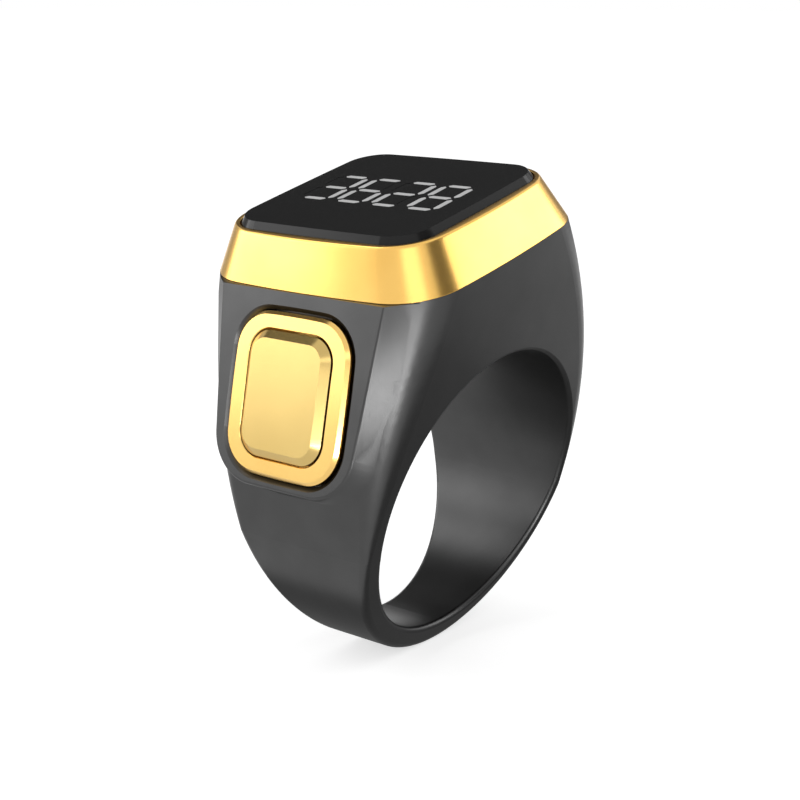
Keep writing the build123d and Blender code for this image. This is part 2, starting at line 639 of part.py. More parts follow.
def make_switch():
    """Low tactile switch: housing, plunger and snap dome, in front-face coordinates."""
    y = BUTTON_RISE
    inside_low = SWITCH_BASE + SWITCH_WALL
    inside_high = SWITCH_TOP - SWITCH_WALL
    body = block(SWITCH_SIZE, SWITCH_SIZE, 0, y, SWITCH_BASE, SWITCH_TOP)
    body -= disc(PLUNGER_FLANGE_R + 2 * SWITCH_WALL, 0, y, inside_low, inside_high)
    body -= disc(PLUNGER_R + PLUNGER_PLAY, 0, y, inside_high, SWITCH_TOP)
    flange_top = inside_high - SEAL_GAP
    plunger = disc(PLUNGER_R, 0, y, flange_top - PLUNGER_FLANGE_T, PLUNGER_TOP)
    plunger += disc(PLUNGER_FLANGE_R, 0, y, flange_top - PLUNGER_FLANGE_T, flange_top)
    sphere_r = (DOME_R ** 2 + DOME_H ** 2) / (2 * DOME_H)
    shell = Sphere(sphere_r) - Sphere(sphere_r - DOME_T)
    dome = Pos(0, y, inside_low + DOME_H - sphere_r) * shell
    dome &= disc(DOME_R, 0, y, inside_low, inside_high)
    return {"switch_body": body, "switch_plunger": plunger, "snap_dome": dome}


def make_flex():
    """Flexible circuit from under the switch, through the pocket's wall, to its socket on the main board."""
    low = BUTTON_RISE - SWITCH_SIZE / 2
    top = (MAIN_BOARD_TOP + FLEX_T - SWITCH_FLOOR * sin(FACE_TURN)) / cos(FACE_TURN)
    strip = block(FLEX_W, top - low, 0, (top + low) / 2, SWITCH_FLOOR, SWITCH_BASE)
    return FRONT.location * strip


def build():
    """Every piece of the ring, by name, in the ring's own frame."""
    head = HEAD.location
    front = FRONT.location
    cell_y = cell_middle()
    socket_y = MAIN_BOARD_FRONT + SOCKET_Y / 2 + HEAD_FIT
    controller_y = socket_y + SOCKET_Y + CONTROLLER_SIZE / 2
    back_y = HEAD_SHIFT + NEST_HALF_Y - ANTENNA_Y
    header_y = (controller_y + CONTROLLER_SIZE / 2 + back_y - ANTENNA_Y / 2) / 2
    capacitor_x = [ANTENNA_X / 2 + CAPACITOR_PITCH * (i + 1) for i in range(CAPACITOR_COUNT)]
    pieces = {
        "ring_body": make_ring_body(),
        "bezel_frame": head * make_bezel(),
        "display_window": head * make_window(),
        "window_adhesive": head * make_adhesive(),
        "segment_mask": head * make_mask(),
        "lit_segments": head * make_bars(True),
        "dark_segments": head * make_bars(False),
        "led_chips": head * make_leds(),
        "display_board": head * in_head(nest_outline(HEAD_FIT), DISPLAY_BOARD_BASE, DISPLAY_BOARD_TOP),
        "main_board": head * make_main_board(),
        "controller_chip": head * on_board(CONTROLLER_SIZE, CONTROLLER_SIZE, -CONTROLLER_SIZE * 0.75,
                                           controller_y),
        "power_chip": head * on_board(POWER_CHIP_SIZE, POWER_CHIP_SIZE, CONTROLLER_SIZE, controller_y),
        "clock_crystal": head * on_board(CRYSTAL_X, CRYSTAL_Y, CONTROLLER_SIZE / 4, controller_y),
        "antenna_chip": head * on_board(ANTENNA_X, ANTENNA_Y, 0, back_y),
        "flex_socket": head * on_board(FLEX_W + 2 * SOCKET_CHEEK, SOCKET_Y, 0, socket_y),
        "board_header": head * block(HEADER_X, HEADER_Y, 0, header_y, MAIN_BOARD_TOP, DISPLAY_BOARD_BASE),
        "capacitors": head * (Part() + [
            on_board(CAPACITOR_Y, CAPACITOR_X, side * x, back_y) for side in (-1, 1) for x in capacitor_x]),
        "cell_pad": head * Pos(0, cell_y, 0) * slab(cell_outline(), ROOF, CELL_BASE),
        "lithium_cell": head * Pos(0, cell_y, 0) * slab(cell_outline(), CELL_BASE, CELL_TOP),
        "cell_tabs": head * make_cell_tabs(),
        "button_trim": front * make_trim(),
        "button_cap": front * make_cap(),
        "button_seal": front * make_seal(),
        "switch_flex": make_flex(),
    }
    pieces.update({name: head * piece for name, piece in make_motor().items()})
    pieces.update({name: head * piece for name, piece in make_contacts().items()})
    pieces.update({name: front * piece for name, piece in make_switch().items()})
    return pieces


os.makedirs("parts", exist_ok=True)
for node, shape in build().items():
    export_step(shape, f"parts/{node}.step")
    print(node, round(shape.volume, 3), len(shape.solids()))
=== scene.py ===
"""Dressed model of a finger-worn digital tally ring: gunmetal body, gold bezel and button, dark display face."""
import logging
import math
from dataclasses import dataclass, field
from enum import Enum

import bmesh
import bpy
from mathutils import Matrix, Vector
from mathutils.bvhtree import BVHTree
from mathutils.interpolate import poly_3d_calc


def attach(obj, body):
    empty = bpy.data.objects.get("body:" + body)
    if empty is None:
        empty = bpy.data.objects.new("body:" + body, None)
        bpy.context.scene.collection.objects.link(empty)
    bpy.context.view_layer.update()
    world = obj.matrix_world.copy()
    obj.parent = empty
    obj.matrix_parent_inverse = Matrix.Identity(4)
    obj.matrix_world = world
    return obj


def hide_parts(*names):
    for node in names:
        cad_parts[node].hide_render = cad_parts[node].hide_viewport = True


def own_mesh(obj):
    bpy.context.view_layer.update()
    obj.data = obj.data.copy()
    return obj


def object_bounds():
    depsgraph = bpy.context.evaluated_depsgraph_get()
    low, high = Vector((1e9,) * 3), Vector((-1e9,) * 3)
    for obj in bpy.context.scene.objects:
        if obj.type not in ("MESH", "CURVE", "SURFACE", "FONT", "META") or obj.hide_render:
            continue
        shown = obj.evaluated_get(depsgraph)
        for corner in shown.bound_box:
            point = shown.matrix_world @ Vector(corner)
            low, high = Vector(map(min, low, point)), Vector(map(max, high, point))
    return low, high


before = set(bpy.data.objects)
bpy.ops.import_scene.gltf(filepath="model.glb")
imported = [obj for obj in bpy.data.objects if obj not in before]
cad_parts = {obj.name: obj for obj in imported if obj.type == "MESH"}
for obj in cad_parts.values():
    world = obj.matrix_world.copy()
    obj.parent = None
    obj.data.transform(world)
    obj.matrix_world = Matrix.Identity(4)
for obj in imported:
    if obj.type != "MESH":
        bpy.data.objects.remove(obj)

CAD_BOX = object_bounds()
MM = 0.001
SIDE_STEPS, CORNER_STEPS = 8, 12  # steps along half a side and round a corner of every line
LEAST_SWELL = 1e-4  # bow in millimetres of a side that is drawn straight
MOST_OF_SIDE = 0.45  # share of a side that a rounding may take
NO_LENGTH = 1e-6  # shortest side in millimetres, so that nothing is divided by 0
SHARP_DEGREES = 38.0  # edges that turn by more than this stay sharp
FLAT_WEIGHT = 100  # the largest faces decide the shading
LEAST_ROUGHNESS = 0.02
DRIFT_RANGE = (0.30, 0.70)  # part of the slow noise over which a tone changes to its shade
DRIFT_DETAIL, GRAIN_DETAIL = 3.0, 2.0  # finer layers in the slow and in the fine noise
LOG = logging.getLogger("tally_ring")


def linear(hex_code: str) -> tuple[float, float, float, float]:
    """Turn an sRGB hex colour into the linear values that shaders take.

    Args:
        hex_code: Colour such as "#c8a24a".

    Returns:
        Linear red, green and blue, with full alpha.
    """
    parts = [int(hex_code[i:i + 2], 16) / 255.0 for i in (1, 3, 5)]
    flat = [c / 12.92 if c <= 0.04045 else ((c + 0.055) / 1.055) ** 2.4 for c in parts]
    return (flat[0], flat[1], flat[2], 1.0)


def add_node(tree: bpy.types.NodeTree, kind: str, values: dict[str | int, object] | None = None,
             links: dict[str | int, bpy.types.NodeSocket] | None = None, **settings: object) -> bpy.types.Node:
    """Add one node with its settings, its fixed inputs and its links.

    Args:
        tree: Node tree that gets the node.
        kind: Blender's name of the node type.
        values: Fixed values by input name or number.
        links: Output sockets by input name or number.
        **settings: Properties of the node itself.

    Returns:
        The new node.
    """
    node = tree.nodes.new(kind)
    for key, value in settings.items():
        setattr(node, key, value)
    for key, value in (values or {}).items():
        node.inputs[key].default_value = value
    for key, socket in (links or {}).items():
        tree.links.new(socket, node.inputs[key])
    return node


class Face(Enum):
    """The two tilted faces of the ring."""

    DISPLAY = (90.0 - 12.75, 1.894)
    BUTTON = (11.83, 5.43)

    def __init__(self, lean: float, middle: float) -> None:
        """Keep the degrees of the outward direction above -Y, and the middle up the face in millimetres."""
        self.lean, self.middle = math.radians(lean), middle

    def matrix(self) -> Matrix:
        """Map millimetres along the finger, up the face and square to it, from the bore axis, to metres.

        Returns:
            The matrix.
        """
        up = Vector((0.0, math.sin(self.lean), math.cos(self.lean)))
        out = Vector((0.0, -math.cos(self.lean), math.sin(self.lean)))
        turn = Matrix((Vector((1.0, 0.0, 0.0)), up, out)).transposed()
        return (turn * MM).to_4x4()


@dataclass(frozen=True)
class Ring:
    """One closed line round a face: a rectangle with bowed sides and round corners, at a level, in millimetres."""

    half_x: float
    half_y: float
    swell: float
    corner: float
    level: float

    def toward(self, other: "Ring", share: float) -> "Ring":
        """The line that lies a share of the way, from 0 to 1, towards another."""
        names = ("half_x", "half_y", "swell", "corner", "level")
        return Ring(*(getattr(self, n) + share * (getattr(other, n) - getattr(self, n)) for n in names))

    def beyond(self, out: float, level: float) -> "Ring":
        """The same line some millimetres further out, or in for a distance below 0, at another level."""
        return Ring(self.half_x + out, self.half_y + out, self.swell, self.corner + out, level)

    def apart(self, other: "Ring") -> float:
        """Distance between two lines in the plane of the profile, in millimetres."""
        return math.hypot(self.half_x - other.half_x, self.level - other.level)

    def points(self) -> list[tuple[float, float]]:
        """Points along the line, the same number for every line, so that lines can be joined.

        Returns:
            Pairs of millimetres, anticlockwise from the middle of the +X side.
        """
        swell = max(self.swell, LEAST_SWELL)
        cx, cy = self.half_x - swell, self.half_y - swell
        top_r = (cx * cx + swell * swell) / (2 * swell)
        side_r = (cy * cy + swell * swell) / (2 * swell)
        side_c = Vector((self.half_x - side_r, 0.0))
        top_c = Vector((0.0, self.half_y - top_r))
        reach_a, reach_b = side_r - self.corner, top_r - self.corner
        gap = top_c - side_c
        dist = gap.length
        along = (reach_a ** 2 - reach_b ** 2 + dist ** 2) / (2 * dist)
        off = math.sqrt(max(reach_a ** 2 - along ** 2, 0.0))
        unit = gap / dist
        middle = side_c + unit * along + Vector((-unit.y, unit.x)) * off
        start, end = self._angle(middle - side_c), self._angle(middle - top_c)
        quarter = [side_c + side_r * Vector((math.cos(a), math.sin(a)))
                   for a in (start * i / SIDE_STEPS for i in range(SIDE_STEPS))]
        quarter += [middle + self.corner * Vector((math.cos(a), math.sin(a)))
                    for a in (start + (end - start) * i / CORNER_STEPS for i in range(CORNER_STEPS + 1))]
        quarter += [top_c + top_r * Vector((math.cos(a), math.sin(a)))
                    for a in (end + (math.pi / 2 - end) * i / SIDE_STEPS for i in range(1, SIDE_STEPS))]
        quarter = [(p.x, p.y) for p in quarter]
        mirrored = [(0.0, self.half_y)] + [(-x, y) for x, y in reversed(quarter[1:])] + [(-self.half_x, 0.0)]
        upper = quarter + mirrored
        lower = [(x, -y) for x, y in reversed(upper[1:-1])]
        return upper + lower

    @staticmethod
    def _angle(direction: Vector) -> float:
        """Angle of a direction from +X, in radians."""
        return math.atan2(direction.y, direction.x)


@dataclass(frozen=True)
class Circle:
    """One circle on a face, with as many points as a ring has, at a level, in millimetres."""

    radius: float
    level: float

    def points(self) -> list[tuple[float, float]]:
        """Points along the circle.

        Returns:
            Pairs of millimetres, anticlockwise from +X.
        """
        count = 4 * (2 * SIDE_STEPS + CORNER_STEPS)
        turns = [2 * math.pi * i / count for i in range(count)]
        return [(self.radius * math.cos(a), self.radius * math.sin(a)) for a in turns]


def softened(rings: list[Ring], radii: list[float], steps: int) -> list[Ring]:
    """Round the corners of a profile made of lines.

    Args:
        rings: Corner lines of the profile, in order.
        radii: Rounding at each line in millimetres, 0 for a sharp end.
        steps: Steps round each corner.

    Returns:
        The profile with every rounded corner replaced by a short curve.
    """
    result = []
    for i, (ring, radius) in enumerate(zip(rings, radii)):
        if radius <= 0 or i in (0, len(rings) - 1):
            result.append(ring)
            continue
        before, after = (
            ring.toward(other, min(MOST_OF_SIDE, radius / max(ring.apart(other), NO_LENGTH)))
            for other in (rings[i - 1], rings[i + 1]))
        for k in range(steps + 1):
            t = k / steps
            result.append(before.toward(ring, t).toward(ring.toward(after, t), t))
    return result


def lofted(name: str, face: Face, rings: list[Ring | Circle], closed: bool) -> bpy.types.Object:
    """Join lines round a face into one skin.

    Args:
        name: Name of the piece.
        face: Face that the lines lie on, round its middle.
        rings: The lines, from the inner or lower end outward.
        closed: True for a frame whose last line joins the first, False for a block with two flat ends.

    Returns:
        The new object, at the origin, with smooth shading.
    """
    place = face.matrix()
    mesh = bmesh.new()
    loops = []
    for ring in rings:
        loops.append([mesh.verts.new(place @ Vector((x, face.middle + y, ring.level))) for x, y in ring.points()])
    count = len(loops[0])
    pairs = list(zip(loops, loops[1:]))
    if closed:
        pairs.append((loops[-1], loops[0]))
    for low, high in pairs:
        for i in range(count):
            j = (i + 1) % count
            mesh.faces.new((low[i], low[j], high[j], high[i]))
    if not closed:
        mesh.faces.new(list(reversed(loops[0])))
        mesh.faces.new(loops[-1])
    bmesh.ops.recalc_face_normals(mesh, faces=mesh.faces)
    return finished(name, mesh)


def finished(name: str, mesh: bmesh.types.BMesh) -> bpy.types.Object:
    """Make an object of a mesh, smooth apart from its sharp edges, with flat faces kept flat.

    Args:
        name: Name of the piece.
        mesh: The mesh, which is used up.

    Returns:
        The new object, linked to the scene.
    """
    data = bpy.data.meshes.new(name)
    mesh.to_mesh(data)
    mesh.free()
    for polygon in data.polygons:
        polygon.use_smooth = True
    data.set_sharp_from_angle(angle=math.radians(SHARP_DEGREES))
    piece = bpy.data.objects.new(name, data)
    bpy.context.scene.collection.objects.link(piece)
    weights = piece.modifiers.new("flat_faces", "WEIGHTED_NORMAL")
    weights.weight = FLAT_WEIGHT
    weights.keep_sharp = True
    return piece


def settle(piece: bpy.types.Object, body: str, node: str, material: bpy.types.Material) -> None:
    """Dress a piece and put it in the place of its CAD node.

    Args:
        piece: The finished piece.
        body: Body that it moves with.
        node: CAD node that it stands for.
        material: Its finish.
    """
    piece.data.materials.clear()
    piece.data.materials.append(material)
    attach(piece, body)
    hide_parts(node)
    LOG.info("%s stands for %s on %s", piece.name, node, body)


def dress_node(node: str, material: bpy.types.Material) -> None:
    """Give a CAD node that stays its finish.

    Args:
        node: Name of the node.
        material: Its finish.
    """
    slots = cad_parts[node].data.materials
    slots.clear()
    slots.append(material)
    LOG.info("%s keeps its shape and gets %s", node, material.name)


@dataclass(frozen=True)
class Finish:
    """A surface with a slow drift of tone and a fine grain, in millimetres, from which every finish here is made."""

    name: str
    tone: str
    shade: str
    metallic: float = 0.0
    rough: float = 0.5
    uneven: float = 0.04
    drift: float = 4.0
    grain: float = 0.25
    depth: float = 0.002
    specular: float = 0.5

    def material(self) -> bpy.types.Material:
        """Build the shader.

        Returns:
            The material, made anew.
        """
        made = bpy.data.materials.new(self.name)
        made.use_nodes = True
        tree = made.node_tree
        tree.nodes.clear()
        place = add_node(tree, "ShaderNodeTexCoord").outputs["Object"]
        drift = add_node(tree, "ShaderNodeTexNoise", {"Scale": 1 / (self.drift * MM), "Detail": DRIFT_DETAIL},
                         {"Vector": place})
        grain = add_node(tree, "ShaderNodeTexNoise", {"Scale": 1 / (self.grain * MM), "Detail": GRAIN_DETAIL},
                         {"Vector": place})
        colour = self.colour(tree, drift.outputs["Fac"])
        rough = add_node(tree, "ShaderNodeMapRange", {"To Min": max(self.rough - self.uneven, LEAST_ROUGHNESS),
                                                      "To Max": self.rough + self.uneven},
                         {"Value": grain.outputs["Fac"]})
        bump = add_node(tree, "ShaderNodeBump", {"Strength": 1.0, "Distance": self.depth * MM},
                        {"Height": grain.outputs["Fac"]})
        shader = add_node(tree, "ShaderNodeBsdfPrincipled",
                          {"Metallic": self.metallic, "Specular IOR Level": self.specular},
                          {"Base Color": colour, "Roughness": rough.outputs["Result"],
                           "Normal": bump.outputs["Normal"]})
        self.light(tree, shader, colour)
        add_node(tree, "ShaderNodeOutputMaterial", links={"Surface": shader.outputs["BSDF"]})
        return made

    def colour(self, tree: bpy.types.NodeTree, drift: bpy.types.NodeSocket) -> bpy.types.NodeSocket:
        """Colour of the surface: its tone, drifting slowly towards its shade.

        Args:
            tree: Node tree of the material.
            drift: Slow noise from 0 to 1.

        Returns:
            Socket that gives the colour.
        """
        ramp = add_node(tree, "ShaderNodeValToRGB", links={"Fac": drift})
        for stop, spot, code in zip(ramp.color_ramp.elements, DRIFT_RANGE, (self.shade, self.tone)):
            stop.position = spot
            stop.color = linear(code)
        return ramp.outputs["Color"]

    def light(self, tree: bpy.types.NodeTree, shader: bpy.types.Node, colour: bpy.types.NodeSocket) -> None:
        """Add light of the surface's own; a plain finish has none."""


@dataclass(frozen=True)
class Lit(Finish):
    """A diffusing bar with light behind it."""

    glow: float = 0.2

    def light(self, tree: bpy.types.NodeTree, shader: bpy.types.Node, colour: bpy.types.NodeSocket) -> None:
        """Let the surface glow in its own colour."""
        tree.links.new(colour, shader.inputs["Emission Color"])
        shader.inputs["Emission Strength"].default_value = self.glow


# Vapour-coated steel, bead-blasted first: a dark grey metal whose reflections are soft.
GUNMETAL = Finish("satin_gunmetal", "#4f4f4f", "#4a4a4a", metallic=1.0,
                  rough=0.35, uneven=0.04, drift=3.0, grain=0.12, depth=0.0005)
# Polished gold plate: warm, clear reflections with a faint haze.
GOLD = Finish("gold_plate", "#f7c870", "#f0bf66", metallic=1.0,
              rough=0.25, uneven=0.03, drift=5.0, grain=0.15, depth=0.0003)
# The trim's gold, plated on a finer blast: the same warmth with slightly clearer reflections.
TRIM_GOLD = Finish("satin_gold_plate", "#f0c676", "#e8be6e", metallic=1.0,
                   rough=0.20, uneven=0.03, drift=5.0, grain=0.15, depth=0.0003)
# The cap's gold, plated on a coarser blast: duller, with softer reflections.
CAP_GOLD = Finish("blasted_gold_plate", "#ceb270", "#c6aa69", metallic=1.0,
                  rough=0.24, uneven=0.03, drift=5.0, grain=0.15, depth=0.0003)
# Smoked display face: nearly black, with a clean gloss that shows on its bevels.
SMOKED = Finish("smoked_glass", "#191919", "#171717",
                rough=0.16, uneven=0.02, drift=6.0, grain=0.2, depth=0.0002, specular=0.20)
# Light bar of cast epoxy: an even grey-white glow.
LIT_BAR = Lit("lit_epoxy_bar", "#bcbcbc", "#b4b4b4",
              rough=0.45, uneven=0.03, drift=1.2, grain=0.2, depth=0.0005)
# The same epoxy with no light behind it: as dark as the face round it.
DARK_BAR = Finish("dark_epoxy_bar", "#1c1c1c", "#191919",
                  rough=0.18, uneven=0.02, drift=1.2, grain=0.2, depth=0.0002, specular=0.20)
# Moulded silicone: grey, matt and slightly dusty.
SILICONE = Finish("grey_silicone", "#636466", "#57585a",
                  rough=0.62, uneven=0.06, drift=1.5, grain=0.20, depth=0.003)
# Thin spring steel: hard bright grey.
SPRING = Finish("thin_spring_steel", "#bdbdbb", "#adadab", metallic=1.0,
                rough=0.20, uneven=0.05, drift=0.8, grain=0.10, depth=0.001)


class Inside(Enum):
    """Finishes of the pieces inside the head, each with the CAD nodes that have it."""

    # Acrylic foam tape: matt black, finely pitted.
    TAPE = (Finish("acrylic_tape", "#191919", "#121212",
                   rough=0.85, uneven=0.08, drift=1.0, grain=0.12, depth=0.01), ("window_adhesive",))
    # Moulded black polycarbonate: dull, with a fine spark-eroded texture.
    POLYCARBONATE = (Finish("black_polycarbonate", "#1d1d1e", "#161617",
                            rough=0.55, uneven=0.06, drift=2.0, grain=0.10, depth=0.004), ("segment_mask",))
    # Phosphor in clear silicone: yellow and waxy when it is off.
    PHOSPHOR = (Finish("phosphor_silicone", "#efe08c", "#e2cf6c",
                       rough=0.30, uneven=0.05, drift=0.3, grain=0.05, depth=0.002), ("led_chips",))
    # Glass-epoxy laminate under solder mask: glossy green, finely uneven.
    LAMINATE = (Finish("masked_laminate", "#1f6a43", "#185636",
                       rough=0.30, uneven=0.06, drift=0.8, grain=0.30, depth=0.006), ("display_board", "main_board"))
    # Moulded chip epoxy: charcoal, finely gritty.
    EPOXY = (Finish("chip_epoxy", "#2a2a2c", "#202022",
                    rough=0.60, uneven=0.08, drift=0.8, grain=0.08, depth=0.005), ("controller_chip", "power_chip"))
    # Drawn nickel-plated can: a bright, warm silver.
    CAN = (Finish("plated_can", "#c4c0b6", "#b5b1a7", metallic=1.0,
                  rough=0.28, uneven=0.06, drift=0.8, grain=0.15, depth=0.001), ("clock_crystal",))
    # Fired white ceramic: chalky, slightly uneven.
    CERAMIC = (Finish("white_ceramic", "#e2ded2", "#d3cec0",
                      rough=0.50, uneven=0.06, drift=0.8, grain=0.15, depth=0.003), ("antenna_chip",))
    # Barium titanate: tan, with a low sheen.
    TITANATE = (Finish("tan_titanate", "#b8976b", "#a58358",
                       rough=0.45, uneven=0.05, drift=0.4, grain=0.08, depth=0.002), ("capacitors",))
    # Moulded liquid-crystal polymer: brown-black, with a low sheen.
    POLYMER = (Finish("connector_polymer", "#2f2b27", "#24211e",
                      rough=0.48, uneven=0.06, drift=0.6, grain=0.10, depth=0.003), ("flex_socket", "board_header"))
    # Aluminium pouch laminate: soft silver, slightly dimpled.
    POUCH = (Finish("aluminium_pouch", "#c9cccf", "#b6babe", metallic=1.0,
                    rough=0.38, uneven=0.08, drift=2.5, grain=0.50, depth=0.02), ("lithium_cell",))
    # Rolled nickel strip: a warm silver with a soft shine.
    NICKEL = (Finish("nickel_strip", "#cbc6ba", "#bcb6aa", metallic=1.0,
                     rough=0.30, uneven=0.05, drift=1.0, grain=0.10, depth=0.001), ("cell_tabs",))
    # Closed-cell foam: dull and cellular.
    FOAM = (Finish("closed_cell_foam", "#36373a", "#292a2c",
                   rough=0.92, uneven=0.05, drift=0.8, grain=0.20, depth=0.03), ("cell_pad",))
    # Drawn stainless steel: soft grey mirror.
    STEEL = (Finish("stainless_steel", "#c8c8c5", "#b9b9b6", metallic=1.0,
                    rough=0.25, uneven=0.05, drift=1.5, grain=0.12, depth=0.001),
             ("motor_base", "motor_can", "motor_shaft"))
    # Nickel-plated magnet: a darker grey with a clear shine.
    MAGNET = (Finish("plated_magnet", "#a3a3a5", "#949496", metallic=1.0,
                     rough=0.22, uneven=0.05, drift=1.0, grain=0.12, depth=0.001), ("motor_magnet",))
    # Sintered tungsten: heavy warm grey with a dry surface.
    TUNGSTEN = (Finish("sintered_tungsten", "#7b766f", "#6a655f", metallic=1.0,
                       rough=0.50, uneven=0.08, drift=0.8, grain=0.10, depth=0.004), ("motor_rotor",))
    # Glass-filled nylon: black with a dull haze.
    NYLON = (Finish("filled_nylon", "#202021", "#18181a",
                    rough=0.55, uneven=0.08, drift=0.6, grain=0.10, depth=0.004), ("switch_body",))
    # Acetal: milky white with a soft sheen.
    ACETAL = (Finish("white_acetal", "#e9e5da", "#ddd8cb",
                     rough=0.35, uneven=0.05, drift=1.0, grain=0.15, depth=0.001), ("switch_plunger",))
    # Polyimide film over copper: amber, a little glossy.
    POLYIMIDE = (Finish("polyimide_film", "#c17f31", "#a96b25",
                        rough=0.28, uneven=0.05, drift=1.2, grain=0.20, depth=0.002), ("switch_flex",))
    # Hard gold on contact pins: paler and duller than the trim.
    CONTACT = (Finish("hard_gold", "#efcb78", "#e2bb66", metallic=1.0,
                      rough=0.26, uneven=0.05, drift=0.8, grain=0.10, depth=0.001), ("charge_contacts",))
    # Moulded nylon round the contacts: plain black with a low sheen.
    HOLDER = (Finish("moulded_nylon", "#212121", "#191919",
                     rough=0.50, uneven=0.06, drift=1.0, grain=0.12, depth=0.003), ("contact_holder",))

    def dress(self) -> None:
        """Give every node of this finish one shared material."""
        finish, nodes = self.value
        material = finish.material()
        for node in nodes:
            dress_node(node, material)


@dataclass
class RingBody:
    """Band, head and button pad in one piece of gunmetal, with the pad's foot eased into the head, in millimetres."""

    node: str = "ring_body"
    pocket_half_x: float = 5.3
    pocket_half_y: float = 5.75
    pocket_corner: float = 3.1
    foot_level: float = 12.70
    foot_slack: float = 0.004
    foot_reach: float = 1.6
    side_low: float = 0.10
    side_high: float = 0.30
    join_digits: int = 4

    def beside_button(self, spot: Vector) -> bool:
        """Tell whether a point of the button's face lies outside the round-cornered pocket of the button.

        Args:
            spot: The point, in the millimetres of that face.

        Returns:
            True outside the pocket.
        """
        over_x = max(abs(spot.x) - self.pocket_half_x + self.pocket_corner, 0.0)
        over_y = max(abs(spot.y - Face.BUTTON.middle) - self.pocket_half_y + self.pocket_corner, 0.0)
        return math.hypot(over_x, over_y) > self.pocket_corner

    def ease(self, spots: list[Vector], faces: list[tuple[int, ...]], normals: list[Vector]) -> None:
        """Let the side of the pad run into the head with no step, in place and in shading.

        Args:
            spots: Points of the skin, in the millimetres of the button's face, which are changed.
            faces: Triangles of the skin.
            normals: Direction of every corner of every triangle, which are changed.
        """
        under = [k for k, f in enumerate(faces) if all(spots[i].z < self.foot_level - self.foot_slack for i in f)]
        before = [q.copy() for q in spots]
        head = BVHTree.FromPolygons(before, [faces[k] for k in under])
        foot = {i for i, q in enumerate(spots) if abs(q.z - self.foot_level) < self.foot_slack
                and self.beside_button(q)}
        for i in foot:
            near, _, _, gap = head.find_nearest(spots[i])
            if gap < self.foot_reach:
                spots[i] = near
        for k, face in enumerate(faces):
            levels = [before[i].z - self.foot_level for i in face]
            side = max(levels) > self.side_high and min(levels) < self.side_low
            if not (side or foot.intersection(face)) or not all(self.beside_button(before[i]) for i in face):
                continue
            for corner, i in enumerate(face):
                if levels[corner] < self.side_low:
                    near, _, number, _ = head.find_nearest(spots[i])
                    below = under[number]
                    shares = poly_3d_calc([before[j] for j in faces[below]], near)
                    mean = sum((n * w for n, w in zip(normals[3 * below:3 * below + 3], shares)), Vector())
                    normals[3 * k + corner] = mean.normalized()

    def shell(self) -> bpy.types.Object:
        """Skin of the body, joined from the triangles of its node.

        Returns:
            The new object, at the origin.
        """
        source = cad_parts[self.node].data
        place = Face.BUTTON.matrix()
        back = place.inverted()
        spots, index, numbers = [], [], {}
        for vertex in source.vertices:
            q = back @ vertex.co
            key = tuple(round(c, self.join_digits) for c in q)
            if key not in numbers:
                numbers[key] = len(spots)
                spots.append(q)
            index.append(numbers[key])
        faces, normals = [], []
        turn = back.to_3x3().normalized()
        for polygon in source.polygons:
            corners = tuple(index[i] for i in polygon.vertices)
            if len(set(corners)) == len(corners):
                faces.append(corners)
                normals += [turn @ source.corner_normals[i].vector for i in polygon.loop_indices]
        self.ease(spots, faces, normals)
        data = bpy.data.meshes.new("ring_shell")
        data.from_pydata([place @ q for q in spots], [], faces)
        data.polygons.foreach_set("use_smooth", [True] * len(faces))
        data.normals_split_custom_set([turn.transposed() @ n for n in normals])
        piece = bpy.data.objects.new("ring_shell", data)
        bpy.context.scene.collection.objects.link(piece)
        return piece

    def dress(self) -> None:
        """Make the body and give it its finish."""
        settle(self.shell(), "ring", self.node, GUNMETAL.material())


@dataclass
class DisplayHead:
    """Gold bezel and dark window, in millimetres."""

    rise: float = 16.55
    half_x: float = 9.69
    half_y: float = 9.40
    swell: float = 0.50
    corner: float = 3.9
    bezel_height: float = 3.10
    rake: float = 1.29
    glass_edge: Ring = Ring(half_x=7.70, half_y=7.50, swell=0.10, corner=2.5, level=0.0)
    well_depth: float = 1.0
    shelf: float = 0.5
    gap: float = 0.08
    edge_round: float = 0.10
    lip_round: float = 0.22
    round_steps: int = 6

    def bezel(self) -> bpy.types.Object:
        """Raked frame with a rolled upper lip.

        Returns:
            The new object, at the origin.
        """
        top = self.rise + self.bezel_height
        foot = Ring(self.half_x, self.half_y, self.swell, self.corner, self.rise)
        rim = Ring(self.half_x - self.rake, self.half_y - self.rake, self.swell, self.corner - self.rake / 2, top)
        seat = self.glass_edge.beyond(-self.shelf, self.rise)
        well = self.glass_edge.beyond(self.gap, top)
        floor = self.glass_edge.beyond(self.gap, top - self.well_depth)
        inner = self.glass_edge.beyond(-self.shelf, top - self.well_depth)
        lines = [seat, foot, rim, well, floor, inner]
        radii = [0.0, self.edge_round / 2, self.lip_round, self.edge_round, 0.0, 0.0]
        return lofted("gold_bezel", Face.DISPLAY, softened(lines, radii, self.round_steps), True)

    def dress(self) -> None:
        """Make the bezel and give bezel and window their finishes."""
        settle(self.bezel(), "ring", "bezel_frame", GOLD.material())
        dress_node("display_window", SMOKED.material())


